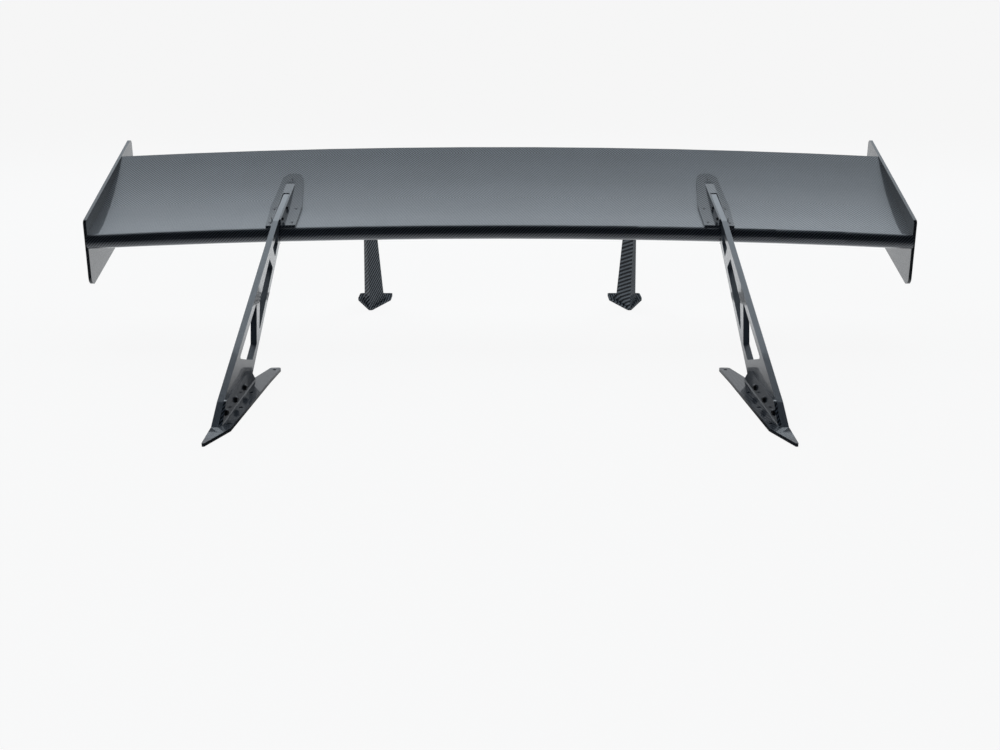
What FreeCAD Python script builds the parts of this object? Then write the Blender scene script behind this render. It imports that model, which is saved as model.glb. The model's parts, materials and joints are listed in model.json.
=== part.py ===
"""Rear wing of a racing car: an arched, hollow carbon wing between two endplates.

Two swan-neck arms hold it from above its leading edge and two small struts from below.
Row frame: X along the span, Y from the leading to the trailing edge, Z up. The four feet
stand on Z = 0, and the origin lies on the ground in the middle of the whole wing.
"""
import FreeCAD, Part
import math
import os
import Sketcher
from FreeCAD import Placement, Rotation, Vector

# Driving sizes: name, value in millimetres or degrees, meaning.
SIZES = (
    ("span", 1600, "overall width over the endplates"),
    ("crown", 20, "rise of the wing's middle above its ends"),
    ("nose_height", 190, "nose centre at the wing ends above the ground"),
    ("nose_radius", 14.5, "round leading edge"),
    ("chord_run", 268, "leading edge to trailing edge, measured level"),
    ("tail_rise", 129, "trailing edge's upper side above the nose centre"),
    ("upper_radius", 1015, "hollow upper surface"),
    ("lower_radius", 400, "bulged lower surface"),
    ("tail_thickness", 3, "height of the trailing edge's face"),
    ("skin", 3, "wing skins"),
    ("tail_land", 26, "length of the solid strip at the trailing edge"),
    ("spar_web", 4, "thickness of the two spars and of the ribs between them"),
    ("front_spar_run", 98, "leading edge to the front spar"),
    ("rear_spar_run", 160, "leading edge to the rear spar"),
    ("rib_spacing", 300, "distance between neighbouring ribs"),
    ("end_rib", 12, "thickness of the ribs that take the endplate screws"),
    ("block_edge", 4, "hard-point blocks reach this far beyond what is screwed to them"),
    ("block_gap", 2, "gap between a hard-point block and the spar beside it"),
    ("plate", 6, "endplate thickness"),
    ("plate_front", 12, "leading edge to the endplate's front edge"),
    ("plate_reach", 345, "leading edge to the endplate's rear edge"),
    ("plate_top_front", 40, "endplate's top front corner above the nose centre"),
    ("plate_top_rear", 158, "endplate's top rear corner above the nose centre"),
    ("plate_low_front", 90, "endplate's lower front corner below the nose centre"),
    ("plate_low_rise", 97, "rise of the endplate's lower edge towards the rear"),
    ("plate_lean", 3, "the endplate's front edge leans forward by this much at its foot"),
    ("plate_corner", 8, "endplate corner radius"),
    ("plate_foot_corner", 14, "radius of the endplate's lower front corner"),
    ("plate_hole_run", 34, "leading edge to the first endplate screw"),
    ("plate_hole_pitch", 84, "spacing of the endplate screws, measured level"),
    ("arm_x", 428, "centre plane to an arm, at the leading edge"),
    ("toe", 1.7, "degrees that each arm's foot turns outwards"),
    ("arm", 11, "arm thickness"),
    ("arm_kink", 43, "arm's upper edge above the wing end's nose centre, over the leading edge"),
    ("arm_knee_run", 470, "leading edge to the arm's knee above the foot"),
    ("arm_knee", 26.5, "knee above the foot flange"),
    ("arm_toe_run", 514, "leading edge to the arm's front corner on the flange"),
    ("arm_heel_run", 292, "leading edge to the arm's rear corner on the flange"),
    ("arm_tip_run", 113, "leading edge to the arm's tip on top of the wing"),
    ("tip_slope", 16, "degrees by which the arm's tip rises over the wing"),
    ("throat", 2, "the arm's lower edge starts this far below the nose centre"),
    ("nose_gap", 3, "air between the arm and the wing's nose"),
    ("rim", 14, "height of the arm's rims beside its cut-outs"),
    ("brace", 28, "arm's upper rim where the brace leaves it"),
    ("foot_rim", 20, "height of the lower rim where the foot's cut-out ends"),
    ("neck_cut_near", 15, "leading edge to the near end of the cut-out at the neck"),
    ("neck_cut_top", 60, "leading edge to that cut-out's upper far corner"),
    ("neck_cut_low", 46, "leading edge to that cut-out's lower far corner"),
    ("middle_cut_top", 92, "leading edge to the middle cut-out's upper near corner"),
    ("middle_cut_low", 70, "leading edge to its lower near corner"),
    ("middle_cut_top_far", 188, "leading edge to its upper far corner"),
    ("middle_cut_low_far", 208, "leading edge to its lower far corner"),
    ("foot_cut_top", 212, "leading edge to the foot cut-out's upper near corner"),
    ("foot_cut_low", 232, "leading edge to its lower near corner"),
    ("foot_cut_top_far", 354, "leading edge to its upper far corner"),
    ("foot_cut_low_far", 270, "leading edge to its lower far corner"),
    ("cut_corner", 3, "corner radius of the arm's cut-outs"),
    ("top_plate", 4, "plate of the top mount, on the wing"),
    ("top_plate_x", 421, "centre plane to the middle of the top mount's plate"),
    ("top_plate_width", 62, "width of the top mount's plate"),
    ("top_plate_cheek", 57, "width of the top mount's plate at its front edge"),
    ("top_plate_end", 39, "width of that plate at its rear end, before rounding"),
    ("top_plate_round", 20, "corner radius of that rear end"),
    ("top_plate_front", 10, "leading edge to the front of the top mount's plate"),
    ("top_plate_widest", 84, "leading edge to the widest place of that plate"),
    ("top_plate_reach", 192, "leading edge to the rear of the top mount's plate"),
    ("rail_wall", 3, "cheeks of the top mount's fork"),
    ("rail_front", 6, "leading edge to the front of the fork"),
    ("rail_reach", 166, "leading edge to the rear of the fork"),
    ("rail_bevel", 6, "run over which the fork's rear end slopes down"),
    ("rail_slot", 118, "leading edge to the closed end of the fork's slot"),
    ("fit", 0.3, "clearance beside the arm in the fork"),
    ("slot_flare", 2, "the slot's outboard side opens by this much towards its closed end"),
    ("tip_gap", 0.8, "air between the arm's tip and the plate under it"),
    ("screw_pitch", 42, "sideways spacing of the top mount's screws"),
    ("screw_first", 20, "leading edge to the first pair of top mount screws"),
    ("screw_second", 72, "leading edge to the second pair"),
    ("screw_last", 172, "leading edge to the last screw"),
    ("screw", 2.5, "shank radius of the wing's screws"),
    ("screw_head", 3.6, "head radius of the wing's screws"),
    ("screw_cap", 2, "head height of the wing's screws"),
    ("screw_sink", 0.4, "the top mount's screw heads lie this far below its plate's face"),
    ("screw_length", 15, "length of the wing's screws under the head"),
    ("shank_gap", 0.25, "clearance around a shank"),
    ("pin", 2, "shank radius of the two bolts through the fork"),
    ("pin_first", 24, "leading edge to the fork's first bolt"),
    ("pin_second", 70, "leading edge to the fork's second bolt"),
    ("pin_drop", 7, "fork bolts below the arm's upper edge"),
    ("pin_head", 3.6, "head radius of the fork's bolts"),
    ("pin_cap", 2, "head height of the fork's bolts"),
    ("gasket", 1, "rubber under each foot"),
    ("flange", 4.5, "thickness of the feet's flanges"),
    ("tip_reach", 582, "leading edge to the front tip of the big feet"),
    ("tip_width", 4, "width of that tip"),
    ("tip_corner", 1.5, "corner radius of that tip"),
    ("foot_front_run", 516, "leading edge to the flange's inner front corner"),
    ("foot_width", 26, "arm's plane to the flange's inner front corner"),
    ("foot_waist_run", 278, "leading edge to the flange's inner rear corner"),
    ("foot_waist", 36, "arm's plane to the flange's inner rear corner"),
    ("tail_tip_run", 205, "leading edge to the flange's rear tip"),
    ("tail_tip", 41, "arm's plane to the flange's rear tip"),
    ("tail_back_run", 207, "leading edge to the other corner of the flange's rear end"),
    ("tail_back", 22, "arm's plane to that corner"),
    ("foot_step_run", 268, "leading edge to the corner where the flange leaves the arm"),
    ("foot_lip", 2, "the flange reaches this far ahead of the arm's front corner"),
    ("foot_corner", 5, "corner radius of the flanges"),
    ("wall", 4.5, "thickness of the foot's upright wall"),
    ("wall_height", 28.5, "foot's wall above its flange"),
    ("wall_front_run", 508, "leading edge to the wall's front end"),
    ("wall_knee_run", 472, "leading edge to the front end of the wall's top edge"),
    ("wall_end", 2, "height of the wall's rear end above the flange"),
    ("wall_back_run", 276, "leading edge to the rear end of the wall"),
    ("wall_top_run", 306, "leading edge to the rear end of the wall's top edge"),
    ("crease", 2, "radius between the wall and the flange"),
    ("bolt", 3, "shank radius of the bolts through the foot's wall"),
    ("bolt_head", 5.2, "head radius of the foot bolts"),
    ("bolt_cap", 3, "head height of the foot bolts"),
    ("bolt_up", 12, "foot bolts above the flange"),
    ("bolt_first", 478, "leading edge to the first foot bolt"),
    ("bolt_pitch", 62, "spacing of the foot bolts"),
    ("washer", 1, "washer thickness"),
    ("washer_edge", 0.8, "the washers are this much larger in radius than the bolt heads"),
    ("insert", 4.5, "outer radius of the threaded inserts in the arm"),
    ("insert_depth", 9, "depth of the inserts and of their pockets"),
    ("nut_height", 2.5, "height of the nuts on the fork bolts"),
    ("thread_out", 1.5, "the fork bolts stand this far out of their nuts"),
    ("deck_hole", 3.3, "holes for the deck bolts, in all four feet"),
    ("deck_hole_in", 19, "arm's plane to the three deck holes in line"),
    ("deck_hole_first", 495, "leading edge to the first deck hole"),
    ("deck_hole_pitch", 75, "spacing of the three deck holes"),
    ("deck_hole_last", 219, "leading edge to the rear deck hole"),
    ("deck_hole_last_in", 31, "arm's plane to the rear deck hole"),
    ("strut_x", 277, "centre plane to a strut"),
    ("strut_front", 205, "leading edge to the apex of the strut's foot"),
    ("ear_run", 300, "leading edge to the ears of the strut's foot"),
    ("strut_back", 345, "leading edge to the rear edge of the strut's foot"),
    ("ear_width", 72, "strut's foot over its ears"),
    ("ear_hole_pitch", 59, "spacing of the strut foot's deck holes"),
    ("ear_hole_run", 331, "leading edge to the strut foot's deck holes"),
    ("column_low", 43, "width of the column at its foot"),
    ("column_high", 12, "width of the column under the wing"),
    ("column_back", 298, "leading edge to the back of the column at its foot"),
    ("column_lean", 43, "the column's ridge leans forward by this much"),
    ("column_chord", 56, "length of the column's section under the wing"),
    ("column_set_back", 4, "apex of the strut's foot to the column's ridge"),
    ("column_wall", 3, "back wall of the hollow column"),
    ("side_wall_low", 6, "column's side walls at the foot, measured across"),
    ("side_wall_high", 3.9, "column's side walls under the wing, measured across"),
    ("ridge_wall_low", 12, "wall behind the column's ridge at the foot"),
    ("ridge_wall_high", 18, "wall behind the column's ridge under the wing"),
    ("skirt", 12, "height of the flare at the column's foot"),
    ("skirt_out", 6, "width of that flare"),
    ("skirt_set_back", 1, "apex of the strut's foot to the flare's ridge"),
    ("pad", 3.5, "thickness of the strut's pad under the wing"),
    ("pad_width", 46, "width of the strut's pad"),
    ("pad_front", 160, "leading edge to the front of the strut's pad"),
    ("pad_back", 232, "leading edge to the rear of the strut's pad"),
    ("pad_screw_pitch", 31, "spacing of the pad's two screws"),
)

# Proportions of a screw head: upper to lower radius, and its socket's radius and floor.
HEAD_TAPER = 0.8
SOCKET = 0.5
SOCKET_FLOOR = 0.4
# Ribs stand this many spacings from the centre plane.
RIB_STATIONS = (-1.5, -0.5, 0.5, 1.5)
# Two points closer than this, in millimetres, are taken as one.
SAME_SPOT = 0.05

doc = FreeCAD.newDocument("rear_wing")
sheet = doc.addObject("Spreadsheet::Sheet", "Sizes")
for row, (name, number, meaning) in enumerate(SIZES, 1):
    sheet.set(f"A{row}", str(number))
    sheet.setAlias(f"A{row}", name)
    sheet.set(f"B{row}", meaning)
doc.recompute()


def size(text):
    """Work out an expression whose words are size names."""
    result = sheet.evalExpression(text)
    return float(getattr(result, "Value", result))


# Datums as expressions. Stations called "run" count from the wing's foremost line.
NOSE_Y = "((Sizes.tip_reach * cos(Sizes.toe) - Sizes.plate_reach) / 2)"
NOSE_MID_Y = f"({NOSE_Y} + Sizes.nose_radius)"
ROOT_Z = "(Sizes.nose_height + Sizes.crown)"
ARCH = "(Sizes.span ^ 2 / (8 * Sizes.crown) + Sizes.crown / 2)"
AXIS_Z = f"({ROOT_Z} - {ARCH})"
DECK = "(Sizes.gasket + Sizes.flange)"
HALF = "(Sizes.span / 2 - Sizes.plate)"
TAIL_Y = f"({NOSE_Y} + Sizes.chord_run)"
TAIL_Z = f"({ROOT_Z} + Sizes.tail_rise)"
TALL = "(2 * (Sizes.nose_height + Sizes.tail_rise))"
BEHIND_SPAR = "(Sizes.rear_spar_run + Sizes.spar_web + Sizes.block_gap)"


def y_at(run):
    """Row station of a run behind the leading edge; negative runs lie ahead of it."""
    return f"({NOSE_Y} + ({run}))"


# ---------------------------------------------------------------- sketch helpers

def bind(thing, **expressions):
    for name, text in expressions.items():
        thing.setExpression(name, text)


def new_body(name):
    body = doc.addObject("PartDesign::Body", name)
    body.Label = name
    return body


def new_sketch(body, name, role, lift=None):
    """A sketch on one of the body's own origin planes, lifted along its normal."""
    sketch = body.newObject("Sketcher::SketchObject", name)
    planes = [p for p in body.Origin.OriginFeatures if p.Role == role]
    sketch.AttachmentSupport = [(planes[0], "")]
    sketch.MapMode = "FlatFace"
    if lift:
        sketch.setExpression("AttachmentOffset.Base.z", lift)
    return sketch


def pin_point(sketch, geometry, position, x_text, y_text):
    """Hold one sketch point at two expressions, measured from the sketch's origin."""
    for kind, text in (("DistanceX", x_text), ("DistanceY", y_text)):
        index = sketch.addConstraint(
            Sketcher.Constraint(kind, -1, 1, geometry, position, size(text)))
        sketch.setExpression(f"Constraints[{index}]", text)


def add_polygon(sketch, corners):
    """A closed outline of straight edges whose corners are pairs of expressions."""
    spots = [Vector(size(x), size(y), 0) for x, y in corners]
    count = len(spots)
    first = sketch.GeometryCount
    for index in range(count):
        sketch.addGeometry(Part.LineSegment(spots[index], spots[(index + 1) % count]), False)
    for index in range(count):
        follow = first + (index + 1) % count
        sketch.addConstraint(Sketcher.Constraint("Coincident", first + index, 2, follow, 1))
        pin_point(sketch, first + index, 1, *corners[index])


def add_circle(sketch, x_text, y_text, radius):
    centre = Vector(size(x_text), size(y_text), 0)
    index = sketch.addGeometry(Part.Circle(centre, Vector(0, 0, 1), size(radius)), False)
    pin_point(sketch, index, 3, x_text, y_text)
    hold_radius(sketch, index, radius)


def hold_radius(sketch, geometry, text):
    index = sketch.addConstraint(Sketcher.Constraint("Radius", geometry, size(text)))
    sketch.setExpression(f"Constraints[{index}]", text)


def pad(body, sketch, length, both_ways=False):
    feature = body.newObject("PartDesign::Pad", sketch.Name + "_pad")
    feature.Profile = sketch
    feature.Midplane = both_ways
    feature.setExpression("Length", length)
    doc.recompute()
    return feature


def pocket(body, sketch, length):
    """Cut a sketch's outline through the body, the same depth each way."""
    feature = body.newObject("PartDesign::Pocket", sketch.Name + "_pocket")
    feature.Profile = sketch
    feature.Midplane = True
    feature.setExpression("Length", length)
    doc.recompute()
    return feature


def round_corners(body, axis, corners, radius):
    """Fillet the edges parallel to an axis that stand on the given outline corners."""
    base = body.Tip
    others = [n for n in range(3) if n != axis]
    spots = [(size(x), size(y)) for x, y in corners]
    names = []
    for index, edge in enumerate(base.Shape.Edges, 1):
        low, high = edge.Vertexes[0].Point, edge.Vertexes[-1].Point
        if abs(low[axis] - high[axis]) < 0.5 * edge.Length or len(edge.Vertexes) < 2:
            continue
        flat = [(low[n] + high[n]) / 2 for n in others]
        if any(math.hypot(flat[0] - x, flat[1] - y) < SAME_SPOT for x, y in spots):
            names.append(f"Edge{index}")
    feature = body.newObject("PartDesign::Fillet", base.Name + "_round")
    feature.Base = (base, names)
    feature.setExpression("Radius", radius)
    doc.recompute()
    return feature


# ---------------------------------------------------------------- part helpers

def boolean(kind, name, *pieces):
    """Part::Cut, Part::Fuse, Part::Common or a multi version of them."""
    feature = doc.addObject(kind, name)
    feature.Label = name
    if kind == "Part::Cut":
        feature.Base, feature.Tool = pieces
    else:
        feature.Shapes = list(pieces)
    return feature


def cut(name, base, *tools):
    tool = tools[0] if len(tools) == 1 else boolean("Part::MultiFuse", name + "_tools", *tools)
    return boolean("Part::Cut", name, base, tool)


def fuse(name, *pieces):
    return boolean("Part::MultiFuse", name, *pieces)


def common(name, *pieces):
    return boolean("Part::MultiCommon", name, *pieces)


def group(name, pieces):
    feature = doc.addObject("Part::Compound", name)
    feature.Label = name
    feature.Links = pieces
    return feature


def box(name, x_low, x_high, y_low, y_high, z_low="-Sizes.span", z_high="Sizes.span"):
    """A box between expressions; without heights it reaches far above and below."""
    feature = doc.addObject("Part::Box", name)
    bind(feature, Length=f"{x_high} - ({x_low})", Width=f"{y_high} - ({y_low})",
         Height=f"{z_high} - ({z_low})")
    feature.setExpression("Placement.Base.x", x_low)
    feature.setExpression("Placement.Base.y", y_low)
    feature.setExpression("Placement.Base.z", z_low)
    return feature


def cylinder(name, radius, height, place):
    feature = doc.addObject("Part::Cylinder", name)
    bind(feature, Radius=radius, Height=height)
    feature.Placement = place
    return feature


def screw(name, place, shank, length, head, cap):
    """A socket screw: its head stands on the place's plane and its shank runs along -Z."""
    stem = cylinder(name + "_stem", shank, f"{length} + {cap} / 2",
                    place * Placement(Vector(0, 0, -size(length)), Rotation()))
    top = doc.addObject("Part::Cone", name + "_head")
    bind(top, Radius1=head, Radius2=f"{head} * {HEAD_TAPER}", Height=cap)
    top.Placement = place
    floor = place * Placement(Vector(0, 0, SOCKET_FLOOR * size(cap)), Rotation())
    return cut(name, fuse(name + "_blank", stem, top), socket(name, head, cap, floor))


def socket(name, head, cap, floor):
    """The six-sided recess in a screw's head."""
    recess = doc.addObject("Part::Prism", name + "_socket")
    recess.Polygon = 6
    bind(recess, Circumradius=f"{head} * {SOCKET}", Height=cap)
    recess.Placement = floor
    return recess


def flush_screw(name, place, shank, length, head, cap):
    """A countersunk screw, flush with the place's plane, and the recess that it needs."""
    parts = []
    for tag, radius in (("", shank), ("_room", f"{shank} + Sizes.shank_gap")):
        stem = cylinder(name + tag + "_stem", radius, f"{length} - {cap} / 2",
                        place * Placement(Vector(0, 0, -size(length)), Rotation()))
        cone = doc.addObject("Part::Cone", name + tag + "_head")
        bind(cone, Radius1=shank, Radius2=head, Height=cap)
        cone.Placement = place * Placement(Vector(0, 0, -size(cap)), Rotation())
        parts.append(fuse(name + tag + "_blank", stem, cone))
    floor = place * Placement(Vector(0, 0, -size(cap) * (1 - SOCKET_FLOOR)), Rotation())
    above = cylinder(name + "_above", head, cap, place)
    recess = fuse(name + "_recess", parts[1], above)
    return cut(name, parts[0], socket(name, head, cap, floor)), recess


def ring(name, place, inner, outer, height):
    """A washer that lies on the place's plane."""
    return cut(name, cylinder(name + "_disc", outer, height, place),
               cylinder(name + "_bore", inner, height, place))


def nut(name, place, inner, outer, height):
    """A hexagon nut that lies on the place's plane."""
    blank = doc.addObject("Part::Prism", name + "_blank")
    blank.Polygon = 6
    bind(blank, Circumradius=outer, Height=height)
    blank.Placement = place
    return cut(name, blank, cylinder(name + "_bore", inner, height, place))


# ---------------------------------------------------------------- the wing's section

def tangent_centre(radius, below):
    """Centre (Y, Z) of the surface arc that leaves the nose and reaches the trailing edge.

    The upper arc is hollow and touches the nose from outside; the lower arc bulges and holds
    the nose inside it. Both centres lie above the wing.
    """
    nose_y, nose_z = size(NOSE_MID_Y), size(ROOT_Z)
    end_y = size(TAIL_Y)
    end_z = size(TAIL_Z) - (size("Sizes.tail_thickness") if below else 0)
    nose = size("Sizes.nose_radius")
    from_nose = radius - nose if below else radius + nose
    gap = math.hypot(end_y - nose_y, end_z - nose_z)
    along = (gap ** 2 + from_nose ** 2 - radius ** 2) / (2 * gap)
    aside = math.sqrt(from_nose ** 2 - along ** 2)
    run, rise = (end_y - nose_y) / gap, (end_z - nose_z) / gap
    return Vector(nose_y + along * run - aside * rise, nose_z + along * rise + aside * run, 0)


UPPER, LOWER = size("Sizes.upper_radius"), size("Sizes.lower_radius")
UPPER_MID, LOWER_MID = tangent_centre(UPPER, False), tangent_centre(LOWER, True)


def arc_between(centre, radius, start, end):
    """An arc counter-clockwise from one direction to another."""
    def heading(spot):
        return math.atan2(spot.y - centre.y, spot.x - centre.x)
    circle = Part.Circle(centre, Vector(0, 0, 1), radius)
    return Part.ArcOfCircle(circle, heading(start), heading(end))


def section_spots(inset):
    """Nose centre and the two points where the surfaces leave the nose, inset by a skin."""
    nose = Vector(size(NOSE_MID_Y), size(ROOT_Z), 0)
    radius = size("Sizes.nose_radius") - inset
    up = UPPER_MID - nose
    down = nose - LOWER_MID
    return nose, nose + up * (radius / up.Length), nose + down * (radius / down.Length)


def on_arc(centre, radius, station):
    """Point of a surface arc's lower half at a row station."""
    return Vector(station, centre.y - math.sqrt(radius ** 2 - (station - centre.x) ** 2), 0)


def mid_height(run):
    """Height of the section's middle line in the wing's centre plane, at a run."""
    station = size(NOSE_Y) + run
    high, low = on_arc(UPPER_MID, UPPER, station), on_arc(LOWER_MID, LOWER, station)
    return (high.y + low.y) / 2


def add_axis(sketch):
    """The arch's axis, parallel to Y and far below the wing, as the first construction line."""
    line = Part.LineSegment(Vector(0, size(AXIS_Z), 0), Vector(100, size(AXIS_Z), 0))
    index = sketch.addGeometry(line, True)
    pin_point(sketch, index, 1, "0", AXIS_Z)
    pin_point(sketch, index, 2, "Sizes.chord_run", AXIS_Z)


def add_section(sketch, construction):
    """The outer section: nose, lower surface, tail face and upper surface."""
    nose_mid, up, down = section_spots(0)
    top = Vector(size(TAIL_Y), size(TAIL_Z), 0)
    low = Vector(top.x, top.y - size("Sizes.tail_thickness"), 0)
    nose = sketch.addGeometry(
        arc_between(nose_mid, size("Sizes.nose_radius"), up, down), construction)
    lower = sketch.addGeometry(arc_between(LOWER_MID, LOWER, down, low), construction)
    upper = sketch.addGeometry(arc_between(UPPER_MID, UPPER, up, top), construction)
    tail = sketch.addGeometry(Part.LineSegment(low, top), construction)
    sketch.addConstraint(Sketcher.Constraint("Tangent", nose, 2, lower, 1))
    sketch.addConstraint(Sketcher.Constraint("Tangent", nose, 1, upper, 1))
    sketch.addConstraint(Sketcher.Constraint("Coincident", lower, 2, tail, 1))
    sketch.addConstraint(Sketcher.Constraint("Coincident", upper, 2, tail, 2))
    pin_point(sketch, nose, 3, NOSE_MID_Y, ROOT_Z)
    hold_radius(sketch, nose, "Sizes.nose_radius")
    hold_radius(sketch, lower, "Sizes.lower_radius")
    hold_radius(sketch, upper, "Sizes.upper_radius")
    pin_point(sketch, tail, 2, TAIL_Y, TAIL_Z)
    pin_point(sketch, tail, 1, TAIL_Y, f"{TAIL_Z} - Sizes.tail_thickness")
    return nose, lower, upper


def add_cavity(sketch, guides):
    """The hollow inside the skins, parallel to the outer section."""
    skin = size("Sizes.skin")
    nose_mid, up, down = section_spots(skin)
    back = size(f"{TAIL_Y} - Sizes.tail_land")
    top, low = on_arc(UPPER_MID, UPPER + skin, back), on_arc(LOWER_MID, LOWER - skin, back)
    nose = sketch.addGeometry(
        arc_between(nose_mid, size("Sizes.nose_radius") - skin, up, down), False)
    lower = sketch.addGeometry(arc_between(LOWER_MID, LOWER - skin, down, low), False)
    upper = sketch.addGeometry(arc_between(UPPER_MID, UPPER + skin, up, top), False)
    web = sketch.addGeometry(Part.LineSegment(low, top), False)
    sketch.addConstraint(Sketcher.Constraint("Tangent", nose, 2, lower, 1))
    sketch.addConstraint(Sketcher.Constraint("Tangent", nose, 1, upper, 1))
    sketch.addConstraint(Sketcher.Constraint("Coincident", lower, 2, web, 1))
    sketch.addConstraint(Sketcher.Constraint("Coincident", upper, 2, web, 2))
    for mine, guide in zip((nose, lower, upper), guides):
        sketch.addConstraint(Sketcher.Constraint("Coincident", mine, 3, guide, 3))
    hold_radius(sketch, upper, "Sizes.upper_radius + Sizes.skin")
    sketch.addConstraint(Sketcher.Constraint("Vertical", web))
    station = f"{TAIL_Y} - Sizes.tail_land"
    index = sketch.addConstraint(Sketcher.Constraint("DistanceX", -1, 1, web, 2, back))
    sketch.setExpression(f"Constraints[{index}]", station)


def add_layer(sketch, guide, centre, radii, front, back):
    """A strip between two arcs that share a surface's centre, closed by upright ends."""
    stations = (size(front), size(back))
    arcs, ends = [], []
    for text in radii:
        spots = [on_arc(centre, size(text), station) for station in stations]
        arcs.append(sketch.addGeometry(arc_between(centre, size(text), *spots), False))
        ends.append(spots)
    for arc, text in zip(arcs, radii):
        sketch.addConstraint(Sketcher.Constraint("Coincident", arc, 3, guide, 3))
        hold_radius(sketch, arc, text)
    for side, text in enumerate((front, back)):
        line = sketch.addGeometry(Part.LineSegment(ends[0][side], ends[1][side]), False)
        sketch.addConstraint(Sketcher.Constraint("Coincident", arcs[0], side + 1, line, 1))
        sketch.addConstraint(Sketcher.Constraint("Coincident", arcs[1], side + 1, line, 2))
        sketch.addConstraint(Sketcher.Constraint("Vertical", line))
        index = sketch.addConstraint(
            Sketcher.Constraint("DistanceX", -1, 1, line, 1, stations[side]))
        sketch.setExpression(f"Constraints[{index}]", text)


def sweep_arch(body, sketch):
    """Turn a section about the arch's axis, a little past both wing ends."""
    feature = body.newObject("PartDesign::Revolution", sketch.Name + "_arch")
    feature.Profile = sketch
    feature.ReferenceAxis = (sketch, ["Axis0"])
    feature.Midplane = True
    feature.setExpression("Angle", f"2 * asin(Sizes.span / 2 / {ARCH}) + 0.5 deg")
    doc.recompute()
    return body


def arch_sketch(name):
    body = new_body(name)
    sketch = new_sketch(body, name + "_section", "YZ_Plane")
    add_axis(sketch)
    return body, sketch


def make_arches():
    """The wing's outer form, its hollow, and thin layers on both surfaces."""
    outer, sketch = arch_sketch("wing_form")
    add_section(sketch, False)
    sweep_arch(outer, sketch)

    core, sketch = arch_sketch("wing_hollow")
    add_cavity(sketch, add_section(sketch, True))
    sweep_arch(core, sketch)

    roof, sketch = arch_sketch("upper_half")
    middle = f"{TAIL_Z} - Sizes.tail_thickness / 2"
    above = f"{TAIL_Z} + Sizes.tail_rise"
    inside = [(y_at(run), f"{mid_height(size(run))}")
              for run in ("Sizes.front_spar_run", "Sizes.rear_spar_run",
                          "Sizes.chord_run - Sizes.tail_land")]
    add_polygon(sketch, (
        (y_at("-Sizes.nose_radius"), ROOT_Z),
        (y_at("Sizes.nose_radius"), ROOT_Z),
        *inside,
        (TAIL_Y, middle),
        (y_at("Sizes.chord_run + Sizes.nose_radius"), middle),
        (y_at("Sizes.chord_run + Sizes.nose_radius"), above),
        (y_at("-Sizes.nose_radius"), above)))
    sweep_arch(roof, sketch)

    top, sketch = arch_sketch("top_layer")
    guides = add_section(sketch, True)
    add_layer(sketch, guides[2], UPPER_MID,
              ("Sizes.upper_radius", "Sizes.upper_radius - Sizes.top_plate"), NOSE_Y, TAIL_Y)
    sweep_arch(top, sketch)

    under, sketch = arch_sketch("under_layer")
    guides = add_section(sketch, True)
    add_layer(sketch, guides[1], LOWER_MID,
              ("Sizes.lower_radius", "Sizes.lower_radius + Sizes.pad"), NOSE_Y, TAIL_Y)
    sweep_arch(under, sketch)
    return outer, core, roof, top, under


def on_wing(x, run, centre, radius, inward):
    """Placement on a surface of the wing, its Z axis square to that surface.

    inward is False on the upper surface, where Z points out and up, and True on the lower
    one, where Z points out and down.
    """
    spot = on_arc(centre, radius, size(NOSE_Y) + run)
    tilt = math.degrees(math.atan2(spot.x - centre.x, centre.y - spot.y))
    lift = spot.y - size(AXIS_Z)
    sweep = math.asin(x / lift)
    base = Vector(x, spot.x, size(AXIS_Z) + lift * math.cos(sweep))
    turn = Rotation(Vector(0, 1, 0), math.degrees(sweep)) * Rotation(Vector(1, 0, 0), tilt)
    if inward:
        turn = turn * Rotation(Vector(1, 0, 0), 180)
    return Placement(base, turn)


# ---------------------------------------------------------------- the wing's pieces

def make_wing(outer, core, roof, cutters):
    """Skins, spars and ribs; cutters holds the screw holes of the skins, ribs and blocks."""
    span_box = box("span_box", f"-{HALF}", HALF, y_at("-Sizes.span"), y_at("Sizes.span"))
    shell = common("wing_shell", cut("wing_tube", outer, core), span_box)
    cut("upper_skin", common("upper_blank", shell, roof), *cutters["upper"])
    cut("lower_skin", cut("lower_blank", shell, roof), *cutters["lower"])

    reach = f"({HALF} - Sizes.end_rib)"
    for name in ("front_spar", "rear_spar"):
        run = f"Sizes.{name}_run"
        web = box(name + "_web", f"-{reach}", reach, y_at(run), y_at(f"{run} + Sizes.spar_web"))
        common(name, core, web)

    ribs = []
    for place in RIB_STATIONS:
        side = f"({place} * Sizes.rib_spacing)"
        web = box(f"rib_web_{len(ribs)}", f"{side} - Sizes.spar_web / 2",
                  f"{side} + Sizes.spar_web / 2",
                  y_at("Sizes.front_spar_run + Sizes.spar_web"), y_at("Sizes.rear_spar_run"))
        ribs.append(common(f"rib_{len(ribs)}", core, web))
    group("mid_ribs", ribs)

    web = box("end_web", f"-{HALF}", f"-{reach}", y_at("-Sizes.span"), y_at("Sizes.span"))
    cut("end_rib_left", common("end_rib_blank", core, web), *cutters["plate"])


def hard_point(name, core, middle, width, front, back, holes):
    """A solid block inside the wing that a group of screws bites into."""
    web = box(name + "_web", f"-{middle} - {width} / 2", f"-{middle} + {width} / 2",
              y_at(front), y_at(back))
    cut(name + "_left", common(name + "_blank", core, web), *holes)


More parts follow.
